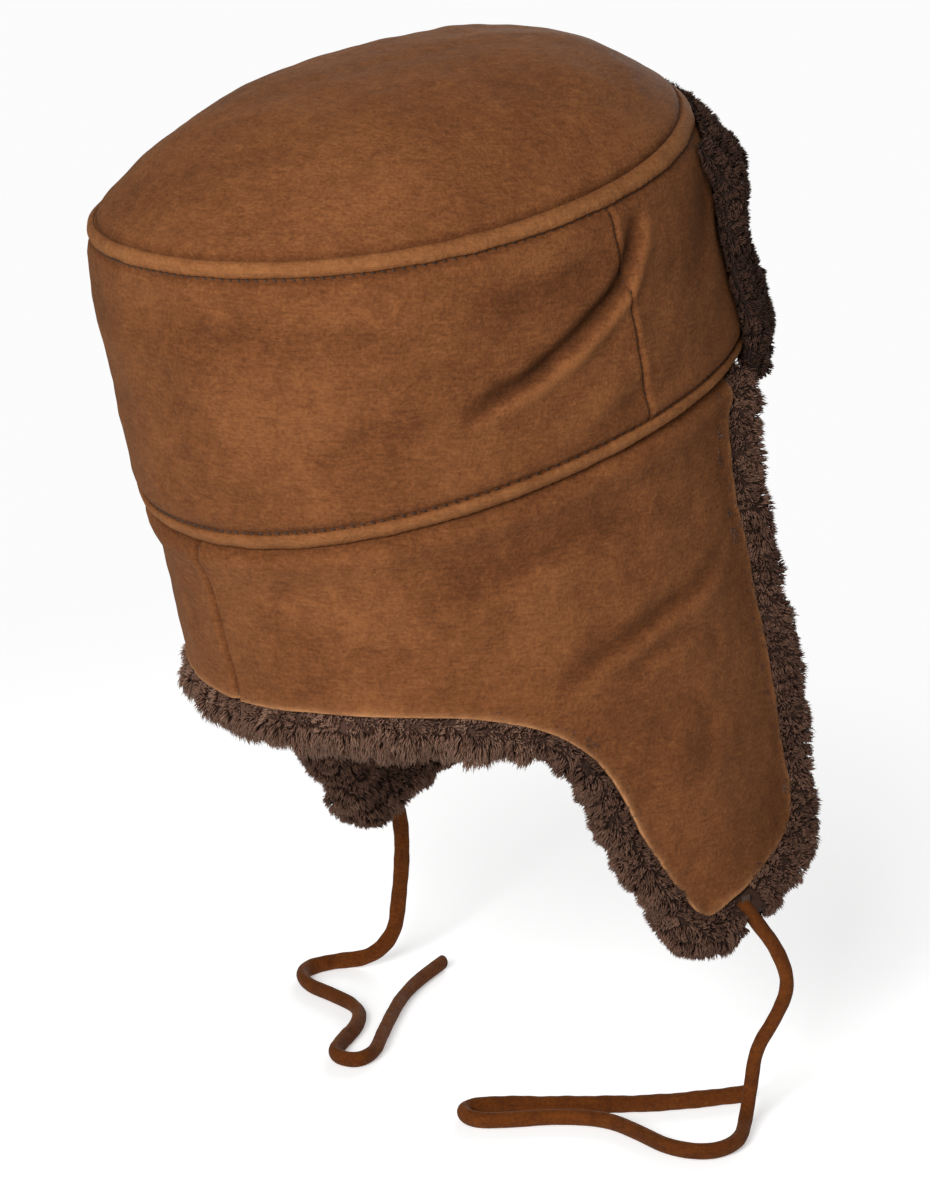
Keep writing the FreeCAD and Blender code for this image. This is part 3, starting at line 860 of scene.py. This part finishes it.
def give(piece, material, slot, *nodes, body=None):
    """Material, slot (not used), CAD nodes that it stands for and body of a piece."""
    piece.data.materials.append(material)
    if nodes:
        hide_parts(*nodes)
    if body:
        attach(piece, body)
    return piece


# ---------------------------------------------------------------- pieces

def spline_line(route, name):
    """Points along a smooth spline that the route's points steer."""
    curve = bpy.data.curves.new(name, "CURVE")
    curve.dimensions = "3D"
    curve.resolution_u = 14
    spline = curve.splines.new("NURBS")
    spline.points.add(len(route) - 1)
    for point, (x, y, z) in zip(spline.points, route):
        point.co = (x * MM, y * MM, z * MM, 1.0)
    spline.order_u = 3
    spline.use_endpoint_u = True
    carrier = bpy.data.objects.new(name, curve)
    mesh = bpy.data.meshes.new_from_object(carrier)
    line = np.array([tuple(vertex.co) for vertex in mesh.vertices])
    bpy.data.objects.remove(carrier)
    bpy.data.curves.remove(curve)
    bpy.data.meshes.remove(mesh)
    return line / MM


def make_tie(label, mirror, material):
    """A narrow strip of suede, folded lengthwise, along its route."""
    route = [(x * mirror, y, z) for x, y, z in TIE_ROUTE]
    line = evenly(spline_line(route, label + "_tie_line"), 1.0)
    run = np.gradient(line, axis=0)
    run = unit(run)
    side = np.cross(run[0], (0.0, 0.0, 1.0))
    angle = np.linspace(0.0, FULL_TURN, 20, endpoint=False)
    sections = []
    for number, (centre, heading) in enumerate(zip(line, run)):
        side = side - heading * (side @ heading)
        side /= np.linalg.norm(side)
        over = np.cross(heading, side)
        sway = 0.02 * math.sin(number * 0.9) + 0.03 * math.sin(number * 0.37 + 1.0)
        groove = 1 - TIE_GROOVE * bump(np.angle(np.exp(1j * (angle - HALF_TURN / 2 - 0.4))), 0.42)
        wide = (TIE_WIDTH / 2) * (TIE_BREADTH + sway)
        thick = (TIE_WIDTH / 2) * (TIE_FLATNESS - sway * 0.6)
        across = (wide * np.cos(angle) * groove)[:, None] * side + (thick * np.sin(angle) * groove)[:, None] * over
        sections.append(centre + across)
    points, faces = tube(np.array(sections))
    rubbed = np.tile(0.25 + 0.35 * np.abs(np.cos(angle)), len(line))
    wear = np.concatenate([rubbed, [1.0, 1.0]])
    tie = add_mesh(label + "_tie_strip", points, faces, wear=wear * 0.5, fold=np.zeros(len(points)))
    give(tie, material, "tie_suede", label + "_tie", body=label + "_ear_flap")
    return tie, line


def capsules(centres, headings, outs, length, width):
    """Short fat threads, each pulled into the leather at both ends."""
    count = len(centres)
    sides = np.cross(headings, outs)
    stations = np.array([-1.0, -0.82, -0.45, 0.0, 0.45, 0.82, 1.0])
    girth = np.sqrt(np.maximum(0.0, 1 - stations ** 4)) * 0.9 + 0.1
    sink = -0.55 * stations ** 4
    angle = np.arange(6) * math.pi / 3
    rings = []
    for station, thick, drop in zip(stations, girth, sink):
        middle = centres + headings * station * length / 2 + outs * drop * width
        for turn in angle:
            rings.append(middle + (sides * math.cos(turn) + outs * math.sin(turn)) * thick * width / 2)
    size = len(stations) * 6
    points = np.stack(rings, axis=1).reshape(-1, 3)
    numbers = np.arange(size).reshape(-1, 6)
    shape = [band_triangles(numbers[row], numbers[row + 1]) for row in range(len(stations) - 1)]
    for loop in (numbers[0][::-1], numbers[-1]):
        shape.append(np.array([(loop[0], loop[step], loop[step + 1]) for step in range(1, 5)]))
    shape = np.concatenate(shape)
    shape = facing_out(points[:size] - points[:size].mean(0), shape)
    faces = (shape[None] + size * np.arange(count)[:, None, None]).reshape(-1, 3)
    return points, faces


def stitch_row(name, flat, surface, relief, material, *nodes, slant=0.0, length=2.4, width=0.7, proud=0.05):
    """A row of stitches along a flat line, lying on a surface with its relief."""
    flat = evenly(flat, STITCH_PITCH)
    step = 0.5
    run = np.gradient(flat, axis=0)
    run = unit(run)
    aside = np.stack([-run[:, 1], run[:, 0]], axis=1)
    lift = relief(flat)
    centre = surface(flat, lift + proud)
    heading = surface(flat + run * step + aside * slant * step, lift) - surface(flat, lift)
    across = surface(flat + aside * step, lift) - surface(flat, lift)
    heading = unit(heading)
    out = np.cross(heading, across)
    out = unit(out)
    away = surface(flat, lift + 1.0) - surface(flat, lift)
    out *= np.sign((out * away).sum(1))[:, None]
    points, faces = capsules(centre, heading, out, length, width)
    return give(add_mesh(name, points, faces), material, "thread", *nodes, body="crown")


def make_welt(name, level, material, node):
    """The puffed edge beside a seam: level gives its middle's height for a turn."""
    turns = np.linspace(0.0, FULL_TURN, 560, endpoint=False)
    angle = np.linspace(0.0, FULL_TURN, 18, endpoint=False)
    flat = np.stack([turns * RADIUS, level(turns)], axis=1)
    solid = wall_surface(flat, 0.0)
    swell = 1 + 0.07 * np.cos(FULL_TURN * flat[:, 0] / STITCH_PITCH) + 0.07 * lumps(solid, 14.0, 21)
    points = []
    for turn in angle:
        place = flat + np.stack([np.zeros(len(turns)), 2.95 * math.cos(turn) * (0.6 + 0.4 * swell)], axis=1)
        offset = -0.35 + (1.75 if math.sin(turn) > 0 else 1.0) * math.sin(turn) * swell
        points.append(wall_surface(place, offset))
    points = np.stack(points, axis=1)
    numbers = np.arange(points.shape[0] * points.shape[1]).reshape(points.shape[:2])
    faces = [band_triangles(numbers[row], numbers[(row + 1) % len(turns)]) for row in range(len(turns))]
    faces = np.concatenate(faces)
    points = points.reshape(-1, 3)
    high = np.tile(np.maximum(0.0, np.sin(angle)) ** 2, len(turns))
    # On the welt the fold attribute paints a highlight on its outer face and shade on its inner face.
    welt = add_mesh(name, points, facing_out(points, faces), wear=high * 0.22, fold=high * 0.6 - 0.3)
    return give(welt, material, "suede_edge", node, body="crown")


def make_crown(leather, edge, fleece, thread):
    rows = (0.7, 1.6, 2.8, 4.2, 5.1, 5.7, 6.2, 6.7, 7.4, 8.6)

    def wall_leather(points, depth):
        return wall_surface(points, wall_relief(points) - 0.25 - SKIN * depth)

    for name, ends in BAND_ENDS.items():
        outline = band_outline(*ends, 0.5, 0.5, SEAM_GAP, 1.2)
        band = shell(name, outline, 2.2, wall_leather, rows, tone=wall_painted_light_and_shade)
        give(band, leather, "suede", name + "_skin", body="crown")
        flat, area = BAND_CUTS[name]

    length, width = TOP_RING[:2]
    turns = np.linspace(0.0, FULL_TURN, 400)
    ahead, side = rounded_square(turns, TOP_RING[6])
    rim = np.stack([(length - 0.4) * ahead, (width - 0.4) * side], axis=1)

    def dome_leather(points, depth):
        return dome_surface(points, dome_relief(points) - SKIN * depth)

    top = shell("crown_top", loop_of(rim, step=1.4), 2.2, dome_leather, (0.5, 1.1, 1.8, 2.7, 3.8, 5.2),
                tone=dome_painted_shade)
    give(top, leather, "suede", "crown_top_skin", body="crown")

    # The welts take the lighter suede copy, a painted highlight on the raised welts.
    make_welt("top_welt", lambda turn: wall_height(turn) - WELT_CENTRE, edge, "top_seam_welt")
    make_welt("cuff_welt", lambda turn: np.full(len(turn), WELT_CENTRE), edge, "cuff_seam_welt")

    turns = np.linspace(0.0, FULL_TURN, 400)
    for name, level in (("top", wall_height(turns) - STITCH_ROW), ("cuff", np.full(400, STITCH_ROW))):
        stitch_row(name + "_stitches", np.stack([turns * RADIUS, level], axis=1), wall_surface, wall_relief, thread,
                   name + "_seam_thread", slant=0.6)
    rise = np.linspace(0.10, 0.90, 40)
    for label, side in (("right", 1), ("left", -1)):
        line = np.stack([side * (side_seam(rise) * RADIUS), rise * wall_height(side_seam(rise))], axis=1)
        stitch_row("side_stitches_" + label, line, wall_surface, wall_relief, thread, "side_seam_thread_" + label,
                   length=1.7, width=0.45, proud=-0.1)

    make_crown_lining(fleece)


def make_crown_lining(fleece):
    """Wool inside the crown: front and back of the wall, and the ceiling."""
    def wall_wool(points, depth):
        solid = wall_surface(points, -PILE_FACE)
        face = PILE_FACE - 0.9 * lumps(solid, 16.0, 31) - 0.5 * lumps(solid, 7.0, 32)
        back = PILE_BACK - np.minimum(wall_relief(points), 0.0)
        return wall_surface(points, -(back + (face - back) * depth))

    def ceiling_wool(points, depth):
        solid = dome_surface(points, np.full(len(points), -PILE_FACE))
        face = PILE_FACE - 0.9 * lumps(solid, 16.0, 33) - 0.5 * lumps(solid, 7.0, 34)
        return dome_surface(points, -(PILE_BACK + 0.6 + (face - PILE_BACK - 0.6) * depth))

    def inside_only(centre, normal):
        """Tufts only where the wool faces the middle of the crown."""
        middle = np.array([0.0, 12.0, 45.0])
        inward = middle - centre
        inward = unit(inward)
        return np.where((normal * inward).sum(1) > 0.25, 0.42, 0.0)

    def short(root, normal):
        return np.full(len(root), 5.0)

    def lean(root, normal):
        return normal * 0.9 + np.array([0.0, 0.0, -0.45])

    for name, seed in (("band_back", 41), ("band_front", 42)):
        outline = band_outline(*BAND_ENDS[name], 0.8, 3.0, 0.2, 3.5)
        wool(name + "_wool", fleece, name + "_pile", outline, 4.0, wall_wool, inside_only, short, lean, seed,
             body="crown", width=0.7, lock=7.0)
    turns = np.linspace(0.0, FULL_TURN, 200)
    ellipse = np.stack([(TOP_RING[0] - 4.0) * np.cos(turns), (TOP_RING[1] - 4.0) * np.sin(turns)], axis=1)
    wool("crown_top_wool", fleece, "crown_top_pile", loop_of(ellipse, step=3.5), 4.0, ceiling_wool, inside_only,
         short, lean, 43, body="crown", width=0.7, lock=7.0)


def make_cuff(leather, fleece, thread):
    """Cuff leather and wool on both sides, each running from neck panel to ear flap."""
    back = HALF_TURN * RADIUS
    whole = leather_edge(1.4)

    def unsewn(line):
        """Positive on the free part of the edge, between the cuff seam and the back seam."""
        return np.minimum(back - SEAM_GAP - line[:, 0], seam_level(line[:, 0] / RADIUS) + TUCK - line[:, 1])

    free = clip(whole, unsewn)
    turns = np.linspace(math.pi - SEAM_GAP / RADIUS, free[0, 0] / RADIUS, 200)
    top = np.stack([turns * RADIUS, seam_level(turns) + TUCK], axis=1)
    outline = loop_of(free, [free[-1], top[0]], top, step=1.4)

    def leather_relief(points):
        distance = nearest_on(points, free)[0]
        return cuff_relief(points) + 0.9 * bump(distance, 3.0)

    for label, mirror in (("right", 1), ("left", -1)):
        def place(points, depth, mirror=mirror):
            return cuff_surface(points, leather_relief(points) - SKIN * depth) * (mirror, 1.0, 1.0)

        panel = shell("cuff_leather_" + label, outline, 2.3, place, (0.5, 1.1, 1.9, 2.9), bulge=0.35,
                      tone=cuff_painted_light_and_shade, frayed=free)
        give(panel, leather, "suede", "neck_panel_%s_skin" % label, "ear_flap_%s_skin" % label)
        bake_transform(panel)
        make_cuff_wool(label, mirror, whole, fleece)

    line = np.stack([np.full(40, back), np.linspace(-36.0, -90.0, 40)], axis=1)
    stitch_row("back_stitches", line, cuff_surface, cuff_relief, thread, "back_seam_thread", length=1.9,
               width=0.5, proud=-0.1)


def make_cuff_wool(label, mirror, edge, fleece):
    """Wool under one side of the cuff's leather, and the fringe that stands out past the leather's edge."""
    back = HALF_TURN * RADIUS
    cut = NECK_TURN * RADIUS
    nape = ease(math.radians(112.0), math.radians(128.0), edge[:, 0] / RADIUS)
    ahead = 1 - ease(math.radians(55.0), math.radians(72.0), edge[:, 0] / RADIUS)
    reach = FRINGE + 2.5 * nape + 3.0 * bump(edge[:, 1] + 183.0, 9.0) + 2.8 * ahead * bump(edge[:, 1] + 100.0, 18.0)
    fringe = fringe_edge(edge, reach, 51)
    covered = np.concatenate([edge, [(edge[-1, 0], 90.0)], [(edge[0, 0], 90.0)]])

    def standing(points):
        """How far the fringe stands out from the leather: most along the front, least at the nape."""
        return 1.8 + 6.0 * (1 - ease(math.radians(68.0), math.radians(108.0), points[:, 0] / RADIUS))

    def place(points, depth):
        solid = cuff_surface(points, -6.0)
        outside = nearest_on(points, edge)[0] * np.where(within(points, covered), -1.0, 1.0)
        to_rim = nearest_on(points, fringe)[0] * np.where(outside > FRINGE * 2, 0.0, 1.0)
        rounded = np.sqrt(1 - np.clip(1 - to_rim / 6.5, 0.0, 1.0) ** 2)
        lumpy = uneven(solid, (0.8, 15.0, 53), (0.45, 6.5, 54))
        proud = ease(-0.5, 5.0, outside)
        outer = (cuff_relief(points) - PILE_BACK) * (1 - proud) + (standing(points) + lumpy) * proud
        inner = -PILE_FACE + lumpy
        middle, half = (outer + inner) / 2, (outer - inner) / 2
        return cuff_surface(points, middle + half * rounded * (1 - 2 * depth)) * (mirror, 1.0, 1.0)

    edge_solid = cuff_surface(edge, 0.0) * (mirror, 1.0, 1.0)
    middle = np.array([0.0, -20.0, -90.0])

    root_of_tie = smooth_curve(np.array(TIE_ROUTE[:3]) * (mirror, 1.0, 1.0), 3.0)

    def from_edge(root):
        """Distance from the leather's edge and the direction away from it."""
        best = np.zeros(len(root), dtype=int)
        for some in np.array_split(np.arange(len(root)), max(1, len(root) * len(edge_solid) // 3000000)):
            best[some] = ((root[some, None] - edge_solid) ** 2).sum(-1).argmin(1)
        away = root - edge_solid[best]
        distance = np.linalg.norm(away, axis=1)
        return distance, away / np.maximum(distance, 1e-6)[:, None]

    def density(centre, normal):
        inward = middle - centre
        inward[:, 2] = 0.0
        inward = unit(inward)
        facing = (normal * inward).sum(1)
        distance = from_edge(centre)[0]
        fringe_side = distance < FRINGE + 8.0
        hidden = (facing < -0.2) & under_leather(centre)
        near_tie = np.min([np.linalg.norm(centre - point, axis=1) for point in root_of_tie], axis=0) < 5.5
        return np.where(hidden | near_tie, 0.0, np.where(fringe_side, 2.5, 0.7))

    def under_leather(centre):
        """True for points that lie behind the leather."""
        turn = np.arctan2(-centre[:, 0] * mirror / HEM_RING[1], -(centre[:, 1] - 0.24 * centre[:, 2]) / HEM_RING[0])
        flat = np.stack([(turn % FULL_TURN) * RADIUS, centre[:, 2]], axis=1)
        return within(flat, covered) & (nearest_on(flat, edge)[0] > 2.6)

    def length(root, normal):
        return 3.0 + 1.0 * ease(1.0, 9.0, from_edge(root)[0])

    def lean(root, normal):
        distance, away = from_edge(root)
        share = ((1 - ease(14.0, 26.0, distance)) * ease(1.0, 8.0, distance))[:, None]
        return normal * (1.0 - 0.3 * share) + away * 0.5 * share + np.array([0.0, 0.0, -0.3]) * (0.2 + 0.8 * share)

    def nape_length(root, normal):
        return 3.0 + 3.6 * ease(2.0, 11.0, from_edge(root)[0])

    def nape_lean(root, normal):
        distance, away = from_edge(root)
        share = ((1 - ease(16.0, 30.0, distance)) * ease(2.0, 10.0, distance))[:, None]
        return normal * (1.0 - 0.45 * share) + away * 0.8 * share + np.array([0.0, 0.0, -0.5]) * (0.1 + 0.9 * share)

    def roof_line(start, end):
        turns = np.linspace(start / RADIUS, end / RADIUS, 120)
        return np.stack([turns * RADIUS, seam_level(turns) - 1.0], axis=1)

    rim = clip(fringe, lambda line: np.minimum(cut - line[:, 0], seam_level(line[:, 0] / RADIUS) - 1.0 - line[:, 1]))
    ear = loop_of(rim, [rim[-1], (cut, seam_level(NECK_TURN) - 1.0)], roof_line(cut, rim[0, 0]), step=2.4)
    rim = clip(fringe, lambda line: np.minimum(line[:, 0] - cut, back - line[:, 0]))
    neck = loop_of(rim, [rim[-1], (back, seam_level(math.pi) - 1.0)], roof_line(back, cut),
                   [(cut, seam_level(NECK_TURN) - 1.0), rim[0]], step=2.4)
    # The ear flap's wool is darkened a little as painted shade.
    piece = wool("ear_flap_wool_" + label, fleece, "ear_flap_%s_pile" % label, ear, 2.8, place, density, length, lean,
                 61, FLAT_ROWS, pale=-0.14)
    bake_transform(piece)
    # The neck wool is lightened as painted light.
    wool("neck_wool_" + label, fleece, "neck_panel_%s_pile" % label, neck, 2.8, place, density, nape_length,
         nape_lean, 62, FLAT_ROWS, pale=0.30, body="crown")


def make_front_flap(leather, fleece):
    """The flap turned up against the front of the crown: leather inside, wool outside and round its side edges."""
    def flap_leather(points, depth):
        solid = wall_surface(points, 0.0)
        return wall_surface(points, FLAP_CLEAR + SKIN - SKIN * depth + 0.15 * lumps(solid, 30.0, 71))

    half = FLAP_TURN - FLAP_WRAP
    outline = upright_band(half, 1.5, 12.0, 1.8)
    panel = shell("front_flap_leather", outline, 2.6, flap_leather, (0.6, 1.4))
    give(panel, leather, "suede", "front_flap_skin")
    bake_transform(panel)

    rim = upright_band(FLAP_TURN + FLAP_WRAP, -5.0, 6.5, 2.2)
    rim = rim + normals_of(rim) * (0.9 * lumps(rim, 17.0, 72) - 0.4)[:, None]
    corner = ease(math.radians(34.0), math.radians(45.0), np.abs(rim[:, 0]) / RADIUS)
    rim[:, 1] -= 4.5 * corner * (1 - ease(0.0, 30.0, rim[:, 1])) + 3.0 * corner * ease(50.0, 80.0, rim[:, 1])
    closed = np.concatenate([rim, rim[:1]])

    def place(points, depth):
        turn = points[:, 0] / RADIUS
        solid = wall_surface(points, 10.0)
        rounded = np.sqrt(1 - np.clip(1 - nearest_on(points, closed)[0] / 6.0, 0.0, 1.0) ** 2)
        under_top = wall_height(turn) - points[:, 1]
        beyond = np.maximum(ease(half - 0.03, half + 0.01, np.abs(turn)), 1 - ease(11.0, 13.5, under_top))
        inner = (FLAP_CLEAR + SKIN + 0.2) * (1 - beyond) + (np.maximum(wall_relief(points), 0.0) + 0.7) * beyond
        outer = 5.0 + 4.4 * ease(8.0, 22.0, under_top) - 3.8 * bump(under_top - 56.0, 19.0)
        outer = np.maximum(outer + 0.9 * lumps(solid, 19.0, 73) + 0.5 * lumps(solid, 7.0, 74), inner + 0.9)
        middle, thick = (outer + inner) / 2, (outer - inner) / 2
        return wall_surface(points, middle + thick * rounded * (1 - 2 * depth))

    heart = np.array([0.0, -20.0, 50.0])
    rim_solid = place(rim, np.full(len(rim), 0.5))

    def outwards(centre, normal):
        outward = centre - heart
        outward = unit(outward)
        return (normal * outward).sum(1)

    def density(centre, normal):
        to_rim = np.min([np.linalg.norm(centre - point, axis=1) for point in rim_solid], axis=0)
        return np.where(outwards(centre, normal) > -0.25, 2.4, np.where(to_rim < 9.0, 2.0, 0.0))

    def length(root, normal):
        return 1.6 + 1.4 * ease(-0.6, 0.0, outwards(root, normal))

    def lean(root, normal):
        return normal + np.array([0.0, 0.0, -0.15])

    # The front flap's wool is darkened strongly as painted shade, for its side turned from the light.
    piece = wool("front_flap_wool", fleece, "front_flap_pile", rim, 2.8, place, density, length, lean, 75, FLAT_ROWS,
                 pale=-0.80, fill=0.8)
    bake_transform(piece)


def make_ties(suede_tie, thread):
    for label, mirror in (("right", 1.0), ("left", -1.0)):
        body = label + "_ear_flap"
        tie, line = make_tie(label, mirror, suede_tie)
        offsets = np.array([(0.0, step * 0.8, 0.0) for step in range(-2, 3)])
        centres = line[0] + offsets + (mirror * -2.6, 0.0, 1.0)
        headings = np.tile([0.0, 0.0, 1.0], (5, 1))
        outs = np.tile([-mirror, 0.0, 0.0], (5, 1))
        points, faces = capsules(centres, headings, outs, 3.4, 0.8)
        tack = add_mesh(label + "_bar_tack", points, faces)
        give(tack, thread, "thread", label + "_tie_tack", body=body)

def main():
    make_camera()
    suede_brown = suede("suede_brown", (0.108, 0.035, 0.0105), (0.155, 0.053, 0.0170), (0.215, 0.079, 0.0260),
                        (0.46, 0.22, 0.095))
    # A lighter copy of the brown suede for the welts: painted highlight on the raised welts.
    suede_edge = suede("suede_edge", (0.135, 0.046, 0.0135), (0.185, 0.066, 0.0205), (0.250, 0.095, 0.031),
                       (0.34, 0.15, 0.056))
    suede_tie = suede("suede_tie", (0.045, 0.0100, 0.0010), (0.074, 0.0170, 0.0016), (0.115, 0.0290, 0.0032),
                      (0.15, 0.045, 0.0075))
    fleece = wool_material()
    thread = thread_material()
    make_studio()
    make_ties(suede_tie, thread)
    make_crown(suede_brown, suede_edge, fleece, thread)
    make_cuff(suede_brown, fleece, thread)
    make_front_flap(suede_brown, fleece)


main()

bpy.context.view_layer.update()
